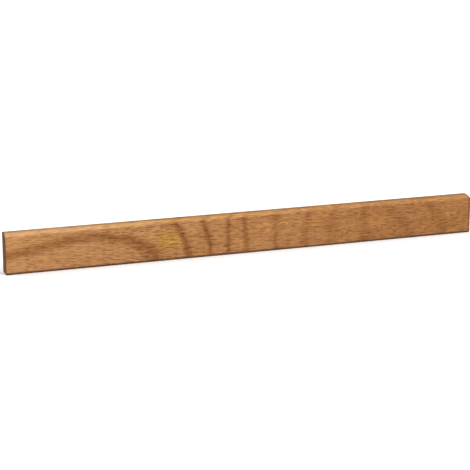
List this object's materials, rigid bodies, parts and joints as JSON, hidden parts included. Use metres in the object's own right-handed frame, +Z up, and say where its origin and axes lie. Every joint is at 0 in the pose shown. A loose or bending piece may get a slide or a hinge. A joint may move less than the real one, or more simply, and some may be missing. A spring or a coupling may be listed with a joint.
{
  "type": "magnetic knife bar",
  "caption": "Wall-mounted oak bar with magnets and a steel backing strip inside, which holds knives on its front face.",
  "frame": {"origin": "centre of the flat back face, which lies against the wall", "axes": "+X along the bar, to the right of someone who faces it; +Y into the wall; +Z up; the knives are on the -Y face"},
  "size_m": [0.6, 0.018, 0.048],
  "materials": {
    "oak": "oiled solid oak, sanded smooth",
    "filler_oak": "planed solid oak",
    "nickel": "bright nickel plating",
    "yoke_steel": "cold-rolled steel, zinc plated",
    "plate_steel": "pressed steel, zinc plated",
    "zinc_steel": "zinc-plated screw steel"
  },
  "bodies": {
    "root": {"oak_bar": "oak", "oak_filler": "filler_oak", "magnet_01": "nickel", "magnet_02": "nickel", "magnet_03": "nickel", "magnet_04": "nickel", "magnet_05": "nickel", "magnet_06": "nickel", "magnet_07": "nickel", "magnet_08": "nickel", "magnet_09": "nickel", "magnet_10": "nickel", "magnet_11": "nickel", "magnet_12": "nickel", "magnet_13": "nickel", "magnet_14": "nickel", "magnet_15": "nickel", "magnet_16": "nickel", "magnet_17": "nickel", "magnet_18": "nickel", "steel_yoke": "yoke_steel", "yoke_screws": "zinc_steel", "keyhole_plate_left": "plate_steel", "keyhole_plate_right": "plate_steel", "keyhole_screws_left": "zinc_steel", "keyhole_screws_right": "zinc_steel"}
  },
  "joints": []
}
